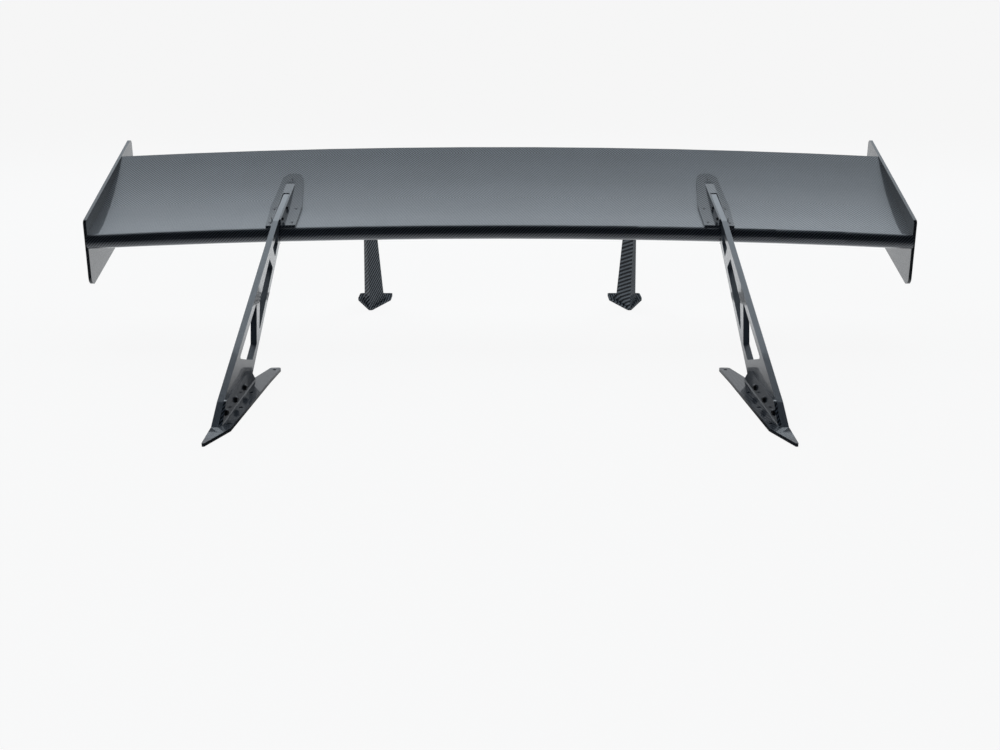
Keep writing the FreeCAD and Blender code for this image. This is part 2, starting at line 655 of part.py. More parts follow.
def make_endplate():
    body = new_body("endplate_blank")
    sketch = new_sketch(body, "endplate_outline", "YZ_Plane", f"-{HALF} - Sizes.plate")
    back = y_at("Sizes.plate_reach")
    foot = (y_at("Sizes.plate_front - Sizes.plate_lean"),
            "Sizes.nose_height - Sizes.plate_low_front")
    others = (
        (back, "Sizes.nose_height - Sizes.plate_low_front + Sizes.plate_low_rise"),
        (back, "Sizes.nose_height + Sizes.plate_top_rear"),
        (y_at("Sizes.plate_front"), "Sizes.nose_height + Sizes.plate_top_front"))
    add_polygon(sketch, (foot,) + others)
    pad(body, sketch, "Sizes.plate")
    round_corners(body, 0, others, "Sizes.plate_corner")
    round_corners(body, 0, (foot,), "Sizes.plate_foot_corner")

    screws, through, tapped = [], [], []
    for index in range(3):
        run = size(f"Sizes.plate_hole_run + {index} * Sizes.plate_hole_pitch")
        height = mid_height(run) - size("Sizes.crown")
        place = Placement(Vector(-size("Sizes.span / 2"), size(NOSE_Y) + run, height),
                          Rotation(Vector(0, 1, 0), -90))
        inner = place * Placement(Vector(0, 0, -size("Sizes.screw_length")), Rotation())
        piece, room = flush_screw(f"plate_screw_{index}", place, "Sizes.screw",
                                  "Sizes.screw_length", "Sizes.screw_head", "Sizes.screw_cap")
        screws.append(piece)
        through.append(room)
        tapped.append(cylinder(f"plate_thread_{index}", "Sizes.screw", "Sizes.screw_length",
                               inner))
    cut("endplate_left", body, *through)
    group("endplate_screws_left", screws)
    return tapped


# ---------------------------------------------------------------- arm and top mount

TOED = Placement(Vector(-size("Sizes.arm_x"), size(NOSE_Y), 0),
                 Rotation(Vector(0, 0, 1), -size("Sizes.toe")))


def toed(feature):
    """Put a piece drawn in the left arm's own frame where the arm stands."""
    feature.Placement = TOED
    return feature


def toed_place(x, y, z, turn):
    return TOED * Placement(Vector(x, y, z), turn)


ARM_RISE = f"(Sizes.crown - {ARCH} + sqrt({ARCH} ^ 2 - Sizes.arm_x ^ 2))"
KINK_Z = "(Sizes.nose_height + Sizes.arm_kink)"
THROAT_Z = "(Sizes.nose_height - Sizes.throat)"
FRONT_SLOPE = f"(({KINK_Z} - {DECK} - Sizes.arm_knee) / Sizes.arm_knee_run)"
BACK_SLOPE = f"(({THROAT_Z} - {DECK}) / Sizes.arm_heel_run)"


def front_z(run, rim):
    """Height of the arm's front edge at a run ahead of the nose, less a rim."""
    return f"({KINK_Z} - ({run}) * {FRONT_SLOPE} - ({rim}))"


def back_z(run, rim):
    """Height of the arm's rear edge at a run ahead of the nose, plus a rim."""
    return f"({THROAT_Z} - ({run}) * {BACK_SLOPE} + ({rim}))"


def tip_z(run, drop="0"):
    """Height of the arm's upper edge over the wing, less a drop."""
    return f"({KINK_Z} + ({run}) * tan(Sizes.tip_slope) - ({drop}))"


def plate_top_z(run):
    """Height of the top mount's plate at the arm, at a run behind the nose."""
    spot = on_arc(UPPER_MID, UPPER - size("Sizes.top_plate"), size(NOSE_Y) + run)
    return spot.y - size("Sizes.crown") + size(ARM_RISE)


def make_arm():
    """A flat swan-neck arm with three cut-outs; its tip lies in the top mount's fork."""
    body = new_body("arm_blank")
    sketch = new_sketch(body, "arm_outline", "YZ_Plane")
    first = size("Sizes.top_plate_front")
    last = size("Sizes.arm_tip_run")
    gap = size("Sizes.tip_gap")
    outline = (
        ("-Sizes.arm_toe_run", DECK),
        ("-Sizes.arm_heel_run", DECK),
        ("0", THROAT_Z),
        ("Sizes.nose_radius", THROAT_Z),
        ("Sizes.top_plate_front - Sizes.tip_gap", f"{plate_top_z(first) + gap}"),
        ("Sizes.arm_tip_run", f"{plate_top_z(last) + gap}"),
        ("Sizes.arm_tip_run", tip_z("Sizes.arm_tip_run")),
        ("0", KINK_Z),
        ("-Sizes.arm_knee_run", f"{DECK} + Sizes.arm_knee"))
    add_polygon(sketch, outline)
    pad(body, sketch, "Sizes.arm", True)

    notch = new_sketch(body, "nose_notch", "YZ_Plane")
    add_circle(notch, "Sizes.nose_radius", f"Sizes.nose_height + {ARM_RISE}",
               "Sizes.nose_radius + Sizes.nose_gap")
    pocket(body, notch, "2 * Sizes.arm")

    cuts = (
        (("neck_cut_top", front_z, "rim"), ("neck_cut_near", front_z, "rim"),
         ("neck_cut_near", back_z, "rim"), ("neck_cut_low", back_z, "rim")),
        (("middle_cut_top", front_z, "rim"), ("middle_cut_low", back_z, "rim"),
         ("middle_cut_low_far", back_z, "rim"), ("middle_cut_top_far", front_z, "brace")),
        (("foot_cut_top", front_z, "rim"), ("foot_cut_low", back_z, "rim"),
         ("foot_cut_low_far", back_z, "foot_rim"), ("foot_cut_top_far", front_z, "rim")))
    for index, corners in enumerate(cuts):
        window = new_sketch(body, f"arm_window_{index}", "YZ_Plane")
        spots = [(f"-Sizes.{run}", edge(f"Sizes.{run}", f"Sizes.{rim}"))
                 for run, edge, rim in corners]
        add_polygon(window, spots)
        pocket(body, window, "2 * Sizes.arm")
        round_corners(body, 0, spots, "Sizes.cut_corner")
    round_corners(body, 0, (("0", KINK_Z), outline[-1]), "Sizes.plate_foot_corner")
    return toed(body)


def make_top_mount(outer, top_layer, roof):
    """A plate that follows the wing, with a fork on it for the arm's tip."""
    shape = new_body("top_plate_outline")
    sketch = new_sketch(shape, "teardrop", "XY_Plane")
    middle = "-Sizes.top_plate_x"
    plan = [(f"{middle} {sign} Sizes.top_plate_{width} / 2", y_at(f"Sizes.top_plate_{run}"))
            for sign, width, run in (("-", "cheek", "front"), ("+", "cheek", "front"),
                                     ("+", "width", "widest"), ("+", "end", "reach"),
                                     ("-", "end", "reach"), ("-", "width", "widest"))]
    add_polygon(sketch, plan)
    pad(shape, sketch, TALL)
    round_corners(shape, 2, plan[3:5], "Sizes.top_plate_round")
    plate_piece = common("top_plate", top_layer, shape)

    rail = new_body("rail_blank")
    sketch = new_sketch(rail, "rail_side", "YZ_Plane")
    low = f"{THROAT_Z} + Sizes.nose_radius"
    add_polygon(sketch, (
        ("Sizes.rail_front", low),
        ("Sizes.rail_reach", low),
        ("Sizes.rail_reach", f"{plate_top_z(size('Sizes.rail_reach'))} + Sizes.tip_gap"),
        ("Sizes.rail_reach - Sizes.rail_bevel", tip_z("Sizes.rail_reach - Sizes.rail_bevel")),
        ("Sizes.rail_front", tip_z("Sizes.rail_front"))))
    pad(rail, sketch, "Sizes.arm + 2 * (Sizes.fit + Sizes.rail_wall)", True)
    slot = new_sketch(rail, "rail_slot", "XY_Plane")
    half = "(Sizes.arm / 2 + Sizes.fit)"
    add_polygon(slot, (
        (f"-{half}", "0"), (half, "0"), (half, "Sizes.rail_slot"),
        (f"-{half} - Sizes.slot_flare", "Sizes.rail_slot")))
    pocket(rail, slot, f"2 * {TALL}")
    upright = cut("rail", common("rail_upper", toed(rail), roof), outer)
    return fuse("top_mount_blank", plate_piece, upright)


def top_screws():
    """Five screws through the top mount's plate, their clearance holes and their threads."""
    pitch = size("Sizes.screw_pitch") / 2
    middle = -size("Sizes.top_plate_x")
    spots = [(middle + side * pitch, size(f"Sizes.{row}"))
             for row in ("screw_first", "screw_second") for side in (-1, 1)]
    spots.append((middle, size("Sizes.screw_last")))
    screws, through, tapped = [], [], []
    for index, (x, run) in enumerate(spots):
        face = on_wing(x, run, UPPER_MID, UPPER - size("Sizes.top_plate"), False)
        place = face * Placement(Vector(0, 0, -size("Sizes.screw_sink")), Rotation())
        inner = place * Placement(Vector(0, 0, -size("Sizes.screw_length")), Rotation())
        piece, room = flush_screw(f"top_screw_{index}", place, "Sizes.screw",
                                  "Sizes.screw_length", "Sizes.screw_head", "Sizes.screw_cap")
        screws.append(piece)
        through.append(room)
        tapped.append(cylinder(f"top_thread_{index}", "Sizes.screw", "Sizes.screw_length",
                               inner))
    group("top_mount_screws_left", screws)
    return through, tapped


def fork_pins():
    """Two bolts across the fork and the arm's tip, with nuts on the outboard cheek."""
    half = size("Sizes.arm / 2 + Sizes.fit + Sizes.rail_wall")
    reach = 2 * half
    bolts, nuts, holes = [], [], []
    for index, name in enumerate(("pin_first", "pin_second")):
        run = size(f"Sizes.{name}")
        height = size(tip_z(f"Sizes.{name}", "Sizes.pin_drop"))
        place = toed_place(half, run, height, Rotation(Vector(0, 1, 0), 90))
        bolts.append(screw(f"fork_bolt_{index}", place, "Sizes.pin",
                           "Sizes.arm + 2 * (Sizes.fit + Sizes.rail_wall)"
                           " + Sizes.nut_height + Sizes.thread_out",
                           "Sizes.pin_head", "Sizes.pin_cap"))
        far = place * Placement(Vector(0, 0, -reach), Rotation(Vector(1, 0, 0), 180))
        nuts.append(nut(f"fork_nut_{index}", far, "Sizes.pin", "Sizes.pin_head",
                        "Sizes.nut_height"))
        start = place * Placement(Vector(0, 0, -1.5 * reach), Rotation())
        holes.append(cylinder(f"fork_hole_{index}", "Sizes.pin + Sizes.shank_gap",
                              "4 * Sizes.arm", start))
    group("fork_bolts_left", bolts)
    group("fork_nuts_left", nuts)
    return holes


# ---------------------------------------------------------------- big feet

def foot_outline():
    """Corners of a big foot's flange in the left arm's frame; positive X points inboard."""
    outboard = "-Sizes.arm / 2"
    return (
        ("-Sizes.tip_width / 2", "-Sizes.tip_reach"),
        ("Sizes.tip_width / 2", "-Sizes.tip_reach"),
        ("Sizes.foot_width", "-Sizes.foot_front_run"),
        ("Sizes.foot_waist", "-Sizes.foot_waist_run"),
        ("Sizes.tail_tip", "-Sizes.tail_tip_run"),
        ("Sizes.tail_back", "-Sizes.tail_back_run"),
        ("Sizes.arm / 2", "-Sizes.foot_step_run"),
        (outboard, "-Sizes.arm_heel_run"),
        (outboard, "-(Sizes.arm_toe_run + Sizes.foot_lip)"))


def deck_spots():
    """Deck holes of a big foot in the left arm's frame."""
    in_line = [("Sizes.deck_hole_in", f"-(Sizes.deck_hole_first - {n} * Sizes.deck_hole_pitch)")
               for n in range(3)]
    return in_line + [("Sizes.deck_hole_last_in", "-Sizes.deck_hole_last")]


def flat_foot(name, corners, rounds, holes, lift, thickness):
    """A flat plate with deck holes; rounds pairs each radius with the corners it rounds."""
    body = new_body(name)
    sketch = new_sketch(body, name + "_outline", "XY_Plane", lift)
    add_polygon(sketch, corners)
    pad(body, sketch, thickness)
    for radius, spots in rounds:
        round_corners(body, 2, spots, radius)
    drill = new_sketch(body, name + "_holes", "XY_Plane", lift)
    for x_text, y_text in holes:
        add_circle(drill, x_text, y_text, "Sizes.deck_hole")
    pocket(body, drill, f"4 * ({thickness})")
    return body


def make_big_foot():
    """Rubber, and the angle bracket that an arm is bolted to."""
    corners = foot_outline()
    rounds = (("Sizes.tip_corner", corners[:2]),
              ("Sizes.foot_corner", (corners[2], corners[4], corners[5], corners[8])))
    toed(flat_foot("foot_gasket_left", corners, rounds, deck_spots(), "0", "Sizes.gasket"))
    body = flat_foot("bracket_blank", corners, rounds, deck_spots(), "Sizes.gasket",
                     "Sizes.flange")
    wall = new_sketch(body, "bracket_wall", "YZ_Plane", "Sizes.arm / 2")
    top = f"{DECK} + Sizes.wall_height"
    high = ("-Sizes.wall_top_run", top)
    add_polygon(wall, (
        ("-Sizes.wall_front_run", "Sizes.gasket + Sizes.flange / 2"),
        ("-Sizes.wall_back_run", "Sizes.gasket + Sizes.flange / 2"),
        ("-Sizes.wall_back_run", f"{DECK} + Sizes.wall_end"),
        high,
        ("-Sizes.wall_knee_run", top)))
    pad(body, wall, "Sizes.wall")
    round_corners(body, 0, (high,), "Sizes.wall_height")
    crease_bottom(body)
    return toed(body)


def crease_bottom(body):
    """Round the inner corner between the wall and the flange."""
    base = body.Tip
    across, height = size("Sizes.arm / 2 + Sizes.wall"), size(DECK)
    names = [f"Edge{n}" for n, edge in enumerate(base.Shape.Edges, 1)
             if all(math.hypot(v.Point.x - across, v.Point.z - height) < SAME_SPOT
                    for v in edge.Vertexes)]
    feature = body.newObject("PartDesign::Fillet", "crease_round")
    feature.Base = (base, names)
    feature.setExpression("Radius", "Sizes.crease")
    doc.recompute()


def foot_bolts():
    """Bolts that hold an arm against its bracket's wall, and the room they need."""
    inner = size("Sizes.arm / 2 + Sizes.wall")
    face = size("Sizes.arm / 2")
    height = size(f"{DECK} + Sizes.bolt_up")
    outward = Rotation(Vector(0, 1, 0), 90)
    bolts, inserts, washers, holes, pockets = [], [], [], [], []
    for index in range(3):
        run = -size(f"Sizes.bolt_first - {index} * Sizes.bolt_pitch")
        seat = toed_place(inner, run, height, outward)
        washers.append(ring(f"foot_washer_{index}", seat, "Sizes.bolt",
                            "Sizes.bolt_head + Sizes.washer_edge", "Sizes.washer"))
        place = toed_place(inner + size("Sizes.washer"), run, height, outward)
        bolts.append(screw(f"foot_bolt_{index}", place, "Sizes.bolt",
                           "Sizes.insert_depth + Sizes.wall + Sizes.washer",
                           "Sizes.bolt_head", "Sizes.bolt_cap"))
        floor = toed_place(face - size("Sizes.insert_depth"), run, height, outward)
        inserts.append(ring(f"foot_insert_{index}", floor, "Sizes.bolt", "Sizes.insert",
                            "Sizes.insert_depth"))
        pockets.append(cylinder(f"foot_pocket_{index}", "Sizes.insert", "Sizes.insert_depth",
                                floor))
        start = toed_place(face - size("Sizes.wall"), run, height, outward)
        holes.append(cylinder(f"foot_hole_{index}", "Sizes.bolt + Sizes.shank_gap",
                              "3 * Sizes.wall", start))
    group("foot_bolts_left", bolts)
    group("foot_washers_left", washers)
    group("foot_inserts_left", inserts)
    return holes, pockets


# ---------------------------------------------------------------- struts under the wing

def strut_outline():
    middle = "-Sizes.strut_x"
    ear = "Sizes.ear_width / 2"
    return (
        (middle, y_at("Sizes.strut_front")),
        (f"{middle} + {ear}", y_at("Sizes.ear_run")),
        (f"{middle} + {ear}", y_at("Sizes.strut_back")),
        (f"{middle} - {ear}", y_at("Sizes.strut_back")),
        (f"{middle} - {ear}", y_at("Sizes.ear_run")))


def triangle(front, back, width):
    """Corners of a column's section: one ridge in front and a flat back."""
    middle = "-Sizes.strut_x"
    return (
        (middle, y_at(front)),
        (f"{middle} + ({width}) / 2", y_at(back)),
        (f"{middle} - ({width}) / 2", y_at(back)))


def loft(body, name, low, low_z, high, high_z):
    """A solid between two triangular sections."""
    ends = []
    for tag, corners, height in (("low", low, low_z), ("high", high, high_z)):
        sketch = new_sketch(body, f"{name}_{tag}", "XY_Plane", height)
        add_polygon(sketch, corners)
        ends.append(sketch)
    feature = body.newObject("PartDesign::AdditiveLoft", name)
    feature.Profile = ends[0]
    feature.Sections = [ends[1]]
    feature.Ruled = True
    doc.recompute()
    return body


def make_strut(outer, under, core, roof):
    """A hollow three-sided column on a flanged foot, with a pad against the wing."""
    corners = strut_outline()
    middle = "-Sizes.strut_x"
    holes = [(f"{middle} {sign} Sizes.ear_hole_pitch / 2", y_at("Sizes.ear_hole_run"))
             for sign in ("-", "+")]
    rounds = (("Sizes.foot_corner", corners),)
    flat_foot("strut_gasket_left", corners, rounds, holes, "0", "Sizes.gasket")
    foot = flat_foot("strut_foot", corners, rounds, holes, "Sizes.gasket", "Sizes.flange")

    top = "(Sizes.nose_height + Sizes.tail_rise)"
    bottom = "Sizes.gasket + Sizes.flange / 2"
    ridge = "Sizes.strut_front + Sizes.column_set_back"
    high_ridge = f"{ridge} - Sizes.column_lean"
    high_back = f"{high_ridge} + Sizes.column_chord"
    low_section = triangle(ridge, "Sizes.column_back", "Sizes.column_low")
    column = loft(new_body("strut_column"), "column", low_section, bottom,
                  triangle(high_ridge, high_back, "Sizes.column_high"), top)
    flare = triangle("Sizes.strut_front + Sizes.skirt_set_back",
                     "Sizes.column_back + Sizes.skirt_out",
                     "Sizes.column_low + 2 * Sizes.skirt_out")
    skirt = loft(new_body("strut_skirt"), "skirt_flare", flare, bottom, low_section,
                 f"{DECK} + Sizes.skirt")
    hollow = loft(new_body("strut_hollow"), "column_hollow",
                  triangle(f"{ridge} + Sizes.ridge_wall_low",
                           "Sizes.column_back - Sizes.column_wall",
                           "Sizes.column_low - 2 * Sizes.side_wall_low"), "-Sizes.gasket",
                  triangle(f"{high_ridge} + Sizes.ridge_wall_high",
                           f"{high_back} - Sizes.column_wall",
                           "Sizes.column_high - 2 * Sizes.side_wall_high"), top)
    shape = new_body("pad_outline")
    sketch = new_sketch(shape, "pad_plan", "XY_Plane")
    side = "Sizes.pad_width / 2"
    plan = tuple((f"{middle} {sign} {side}", y_at(f"Sizes.{end}"))
                 for sign, end in (("-", "pad_front"), ("+", "pad_front"), ("+", "pad_back"),
                                   ("-", "pad_back")))
    add_polygon(sketch, plan)
    pad(shape, sketch, TALL)
    round_corners(shape, 2, plan, "Sizes.plate_corner")
    pad_piece = common("strut_pad", under, shape)

    screws, through, tapped = [], [], []
    run = size("(Sizes.pad_front + Sizes.pad_back) / 2")
    for index, sign in enumerate((-1, 1)):
        x = -size("Sizes.strut_x") + sign * size("Sizes.pad_screw_pitch") / 2
        place = on_wing(x, run, LOWER_MID, LOWER + size("Sizes.pad"), True)
        inner = place * Placement(Vector(0, 0, -size("Sizes.screw_length")), Rotation())
        screws.append(screw(f"pad_screw_{index}", place, "Sizes.screw", "Sizes.screw_length",
                            "Sizes.screw_head", "Sizes.screw_cap"))
        through.append(cylinder(f"pad_hole_{index}", "Sizes.screw + Sizes.shank_gap",
                                "2 * Sizes.screw_length", inner))
        tapped.append(cylinder(f"pad_thread_{index}", "Sizes.screw", "Sizes.screw_length",
                               inner))
    group("strut_screws_left", screws)
    solid = cut("strut_shaft", fuse("strut_shaft_blank", column, skirt), outer, roof)
    cut("rear_strut_left", fuse("strut_blank", foot, solid, pad_piece), hollow, *through)
    hard_point("strut_block", core, "Sizes.strut_x",
               "(Sizes.pad_width + 2 * Sizes.block_edge)", BEHIND_SPAR,
               "Sizes.pad_back + Sizes.block_edge", tapped)
    return through


# ---------------------------------------------------------------- the whole wing

LEFT_NODES = (
    "end_rib", "mount_block_front", "mount_block_rear", "strut_block", "endplate",
    "endplate_screws", "top_mount", "top_mount_screws", "fork_bolts", "fork_nuts", "arm",
    "foot_bracket", "foot_bolts", "foot_washers", "foot_inserts", "foot_gasket", "rear_strut",
    "strut_screws", "strut_gasket")
MIDDLE_NODES = ("upper_skin", "lower_skin", "front_spar", "rear_spar", "mid_ribs")


def mirror(name):
    """The right-hand piece, a mirror image of the left one."""
    feature = doc.addObject("Part::Mirroring", name + "_right")
    feature.Label = name + "_right"
    feature.Source = doc.getObject(name + "_left")
    feature.Base = (0, 0, 0)
    feature.Normal = (1, 0, 0)
    return feature


def both_sides(name, pieces):
    """Hole cutters of the left side, and their mirror images."""
    left = group(name + "_left", pieces)
    return (left, mirror(name))


def build():
    outer, core, roof, top_layer, under_layer = make_arches()
    plate_threads = make_endplate()
    mount = make_top_mount(outer, top_layer, roof)
    through, tapped = top_screws()
    pins = fork_pins()
    cut("top_mount_left", mount, *through, *pins)
    bolt_holes, insert_pockets = foot_bolts()
    cut("arm_left", make_arm(), *pins, *insert_pockets)
    cut("foot_bracket_left", make_big_foot(), *bolt_holes)
    width = "Sizes.top_plate_width"
    hard_point("mount_block_front", core, "Sizes.top_plate_x", width, "Sizes.nose_radius",
               "Sizes.front_spar_run - Sizes.block_gap", tapped[:4])
    hard_point("mount_block_rear", core, "Sizes.top_plate_x", width,
               BEHIND_SPAR, "Sizes.top_plate_reach + Sizes.block_edge", tapped[4:])
    pad_holes = make_strut(outer, under_layer, core, roof)
    cutters = {"upper": both_sides("top_drill", through),
               "lower": both_sides("pad_drill", pad_holes),
               "plate": plate_threads}
    make_wing(outer, core, roof, cutters)
    for name in LEFT_NODES:
        mirror(name)
    doc.recompute()


def export():
    """Check every feature, then write one file for each node."""
    for thing in doc.Objects:
        if "Invalid" in thing.State or "Error" in thing.State:
            raise SystemExit(f"{thing.Name} failed: {thing.getStatusString()}")
    names = list(MIDDLE_NODES)
    for name in LEFT_NODES:
        names += [name + "_left", name + "_right"]
    os.makedirs("parts", exist_ok=True)
    for name in names:
        shape = doc.getObject(name).Shape
        if shape.isNull() or not shape.isValid() or not shape.Solids:
            raise SystemExit(f"{name} has no valid solid")
    for name in names:
        doc.getObject(name).Shape.exportStep(f"parts/{name}.step")
    print(len(names), "nodes written")


build()
export()
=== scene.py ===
"""Looks of the racing rear wing: lacquered twill carbon, dark fasteners, rubber, studio light."""

import json
import math

import bpy
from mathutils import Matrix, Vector


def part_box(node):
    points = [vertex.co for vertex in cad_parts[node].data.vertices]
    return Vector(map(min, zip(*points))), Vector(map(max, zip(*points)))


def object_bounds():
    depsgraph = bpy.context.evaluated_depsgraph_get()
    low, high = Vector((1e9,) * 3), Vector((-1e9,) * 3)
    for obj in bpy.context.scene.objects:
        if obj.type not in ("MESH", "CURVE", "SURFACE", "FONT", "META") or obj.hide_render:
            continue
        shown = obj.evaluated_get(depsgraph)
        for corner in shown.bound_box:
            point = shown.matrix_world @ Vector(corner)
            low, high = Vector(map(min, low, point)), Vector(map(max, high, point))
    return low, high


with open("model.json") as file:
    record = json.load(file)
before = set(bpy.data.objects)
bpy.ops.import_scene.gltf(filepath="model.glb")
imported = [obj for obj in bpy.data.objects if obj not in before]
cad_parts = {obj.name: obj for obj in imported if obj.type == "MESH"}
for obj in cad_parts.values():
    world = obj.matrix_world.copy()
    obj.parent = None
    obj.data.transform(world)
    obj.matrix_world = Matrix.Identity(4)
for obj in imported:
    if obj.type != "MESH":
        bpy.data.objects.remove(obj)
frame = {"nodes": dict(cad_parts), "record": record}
cad_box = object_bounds()
NODES = frame["nodes"]

# Driving sizes, in metres, of things that the frame doesn't give.
TOW = 0.0015             # width of one carbon tow; four make a repeat of the twill
NOSE_RADIUS = 0.0145     # the wing's round leading edge
CROWN = 0.020            # rise of the wing's middle above its ends
PLY = 0.0003             # thickness of one layer where a plate is cut
RIDGE_STRETCH = 1.6      # cloth on a strut's slanted faces, per metre across
CAMERA_AHEAD = 2.231     # camera to the wing's leading edge
CAMERA_HEIGHT = 0.649    # camera above the floor
CAMERA_PITCH = 18.0      # degrees that the camera looks down
LENS = 42.5              # millimetres
SENSOR = 36.0            # width of the camera's sensor, in millimetres
SIGHT = 2000.0           # the camera sees this far
FLOOR_REACH = 600.0      # middle of the floor to its edges

# Twill cloth. Tones are shares of a tow's own colour. The paler colour of the lengthwise tows is
# painted sheen.
REPEAT = 4.0             # tows in a repeat of the twill
LENGTHWISE_END = 1.5     # steps of a repeat below this show the lengthwise tow
FLOAT = 2.0              # tows that a tow passes over
FIBRES = 9               # strands across a tow
VALLEY_END = 0.55        # height of the cloth from which on a tow has its full tone
VALLEY_SHADE = 0.35       # painted shade: tone in the valleys between the tows
FIBRE_TONES = (0.82, 1.14)
CLOUD_TONES = (0.9, 1.1)
CLOUD_BAND = (0.35, 0.65)    # noise values that the broad clouds of tone lie between
NOISE_BAND = (0.3, 0.7)      # noise values that finer marks lie between
RELIEF = 0.8             # strength of the cloth's relief
# Painted sheen: lengthwise tows get the paler colour in place of the light that the fibres
# reflect; the dark colour is the bare fibre.
SHEEN_TOW = (0.110, 0.130, 0.160, 1)
DARK_TOW = (0.008, 0.010, 0.014, 1)

# Lacquer over the cloth, and the edges of cut plates.
LACQUER_ROUGH = 0.05
LACQUER_INDEX = 1.5
RIPPLE = 0.0006          # height of the lacquer's ripples
FACE_TURN = 0.7          # faces whose normal has a smaller share of X than this are edges
EDGE_TONE = (0.075, 0.092, 0.115)
PLY_TONES = (0.75, 1.25)

# Features per metre of the noises.
CLOUDS = 6.0
RIPPLES = 45.0
SCUFFS = 420.0
METAL_MARKS = 1400.0
RUBBER_GRAIN = 1800.0
RUBBER_DUST = 60.0

# Studio. A fade goes from a first to a second place, and from a first to a second glow.
LAMP_TINT = (0.80, 0.91, 1.0)
ROOM_TINT = (0.93, 0.96, 1.0, 1)
ROOM_FADE = (0.1, 0.9, 0.01, 0.7)        # by the direction's share of Y
FLOOR_TINT = (0.96, 0.98, 1.0, 1)
FLOOR_FADE = (-0.35, 0.3, 0.03, 1.1)     # by the floor's Y, in metres


# ---------------------------------------------------------------- node trees

class Tree:
    """A material's node tree, built with short calls whose results are sockets."""

    def __init__(self, name):
        self.material = bpy.data.materials.new(name)
        self.material.use_nodes = True
        self.nodes = self.material.node_tree.nodes
        self.links = self.material.node_tree.links
        self.nodes.clear()

    def feed(self, socket, value):
        """Set a socket's value, or link it if the value is another socket."""
        if isinstance(value, bpy.types.NodeSocket):
            self.links.new(value, socket)
        else:
            socket.default_value = value

    def add(self, kind, settings=None, **inputs):
        """Add a node; settings are its properties, inputs are sockets by name."""
        node = self.nodes.new(kind)
        for name, value in (settings or {}).items():
            setattr(node, name, value)
        for name, value in inputs.items():
            self.feed(node.inputs[name.replace("_", " ")], value)
        return node

    def math(self, operation, *values):
        node = self.nodes.new("ShaderNodeMath")
        node.operation = operation
        for socket, value in zip(node.inputs, values):
            self.feed(socket, value)
        return node.outputs[0]

    def pick(self, factor, first, second):
        """first where factor is 0, second where it is 1."""
        node = self.nodes.new("ShaderNodeMix")
        self.feed(node.inputs[0], factor)
        self.feed(node.inputs[2], first)
        self.feed(node.inputs[3], second)
        return node.outputs[0]

    def pick_colour(self, factor, first, second):
        node = self.nodes.new("ShaderNodeMix")
        node.data_type = "RGBA"
        self.feed(node.inputs[0], factor)
        self.feed(node.inputs[6], first)
        self.feed(node.inputs[7], second)
        return node.outputs[2]

    def noise(self, where, scale, detail):
        node = self.add("ShaderNodeTexNoise", Vector=where, Scale=scale, Detail=detail)
        return node.outputs["Fac"]

    def spread(self, value, low, high, to_low, to_high):
        """Map a value from one range to another, held at the ends."""
        node = self.add("ShaderNodeMapRange", Value=value)
        set_range(node, low, high, to_low, to_high)
        return node.outputs[0]

    def scale(self, colour, factor):
        """Make a colour lighter or darker."""
        node = self.add("ShaderNodeVectorMath", {"operation": "SCALE"}, Vector=colour,
                        Scale=factor)
        return node.outputs[0]

    def bump(self, height, distance, strength):
        node = self.add("ShaderNodeBump", Height=height, Distance=distance, Strength=strength)
        return node.outputs[0]

    def finish(self, shader):
        output = self.nodes.new("ShaderNodeOutputMaterial")
        self.links.new(shader, output.inputs["Surface"])
        return self.material


def set_range(node, low, high, to_low, to_high):
    """Fill in a Map Range node."""
    for name, number in (("From Min", low), ("From Max", high),
                         ("To Min", to_low), ("To Max", to_high)):
        node.inputs[name].default_value = number


def place(tree):
    """Row-frame position, as its three numbers and as a vector."""
    where = tree.add("ShaderNodeTexCoord").outputs["Object"]
    split = tree.add("ShaderNodeSeparateXYZ", Vector=where)
    return where, split.outputs[0], split.outputs[1], split.outputs[2]


def facing(tree):
    """How squarely the face looks along each row axis, from 0 to 1."""
    normal = tree.add("ShaderNodeNewGeometry").outputs["True Normal"]
    split = tree.add("ShaderNodeSeparateXYZ", Vector=normal)
    return [tree.math("ABSOLUTE", split.outputs[n]) for n in range(3)]


# ---------------------------------------------------------------- carbon

def flat_cloth(tree):
    """Cloth coordinates of flat pieces: the two row axes that a face lies along."""
    _, x, y, z = place(tree)
    face_x, face_y, face_z = facing(tree)
    sideways = tree.math("GREATER_THAN", face_x, tree.math("MAXIMUM", face_y, face_z))
    upright = tree.math("GREATER_THAN", face_y, face_z)
    across = tree.pick(sideways, x, y)
    along = tree.pick(sideways, tree.pick(upright, y, z), z)
    return across, along


def slanted_cloth(tree):
    """Cloth coordinates for tall faces that slant back to both sides of a ridge."""
    _, x, _, z = place(tree)
    return tree.math("MULTIPLY", x, RIDGE_STRETCH), z


